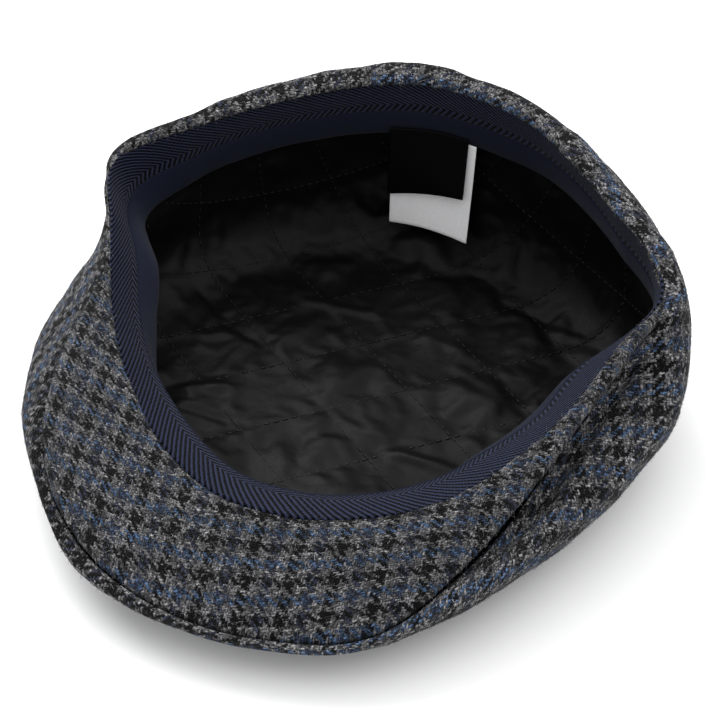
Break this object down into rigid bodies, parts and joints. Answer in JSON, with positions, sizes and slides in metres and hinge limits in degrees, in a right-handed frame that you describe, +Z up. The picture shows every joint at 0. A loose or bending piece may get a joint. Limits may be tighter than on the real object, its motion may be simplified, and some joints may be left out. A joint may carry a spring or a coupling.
{
  "type": "flat cap",
  "caption": "Flat cap lying upside down on its crown: check tweed crown and arched peak, sweatband, quilted lining and two blank labels.",
  "frame": {"origin": "on the surface that the cap lies on, under the middle of its bounding box", "axes": "+Z up through the head opening, -Y towards the peak, +X towards the wearer's right side"},
  "size_m": [0.2218, 0.227, 0.0842],
  "materials": {
    "tweed": "brushed wool check, black, grey and blue",
    "band_cotton": "navy cotton herringbone",
    "lining_satin": "quilted black satin",
    "label_black": "woven black tape",
    "label_white": "woven white satin tape"
  },
  "bodies": {
    "root": {"crown": "tweed", "peak": "tweed", "sweatband": "band_cotton", "lining": "lining_satin", "label_brand": "label_black", "label_care": "label_white"}
  },
  "joints": []
}
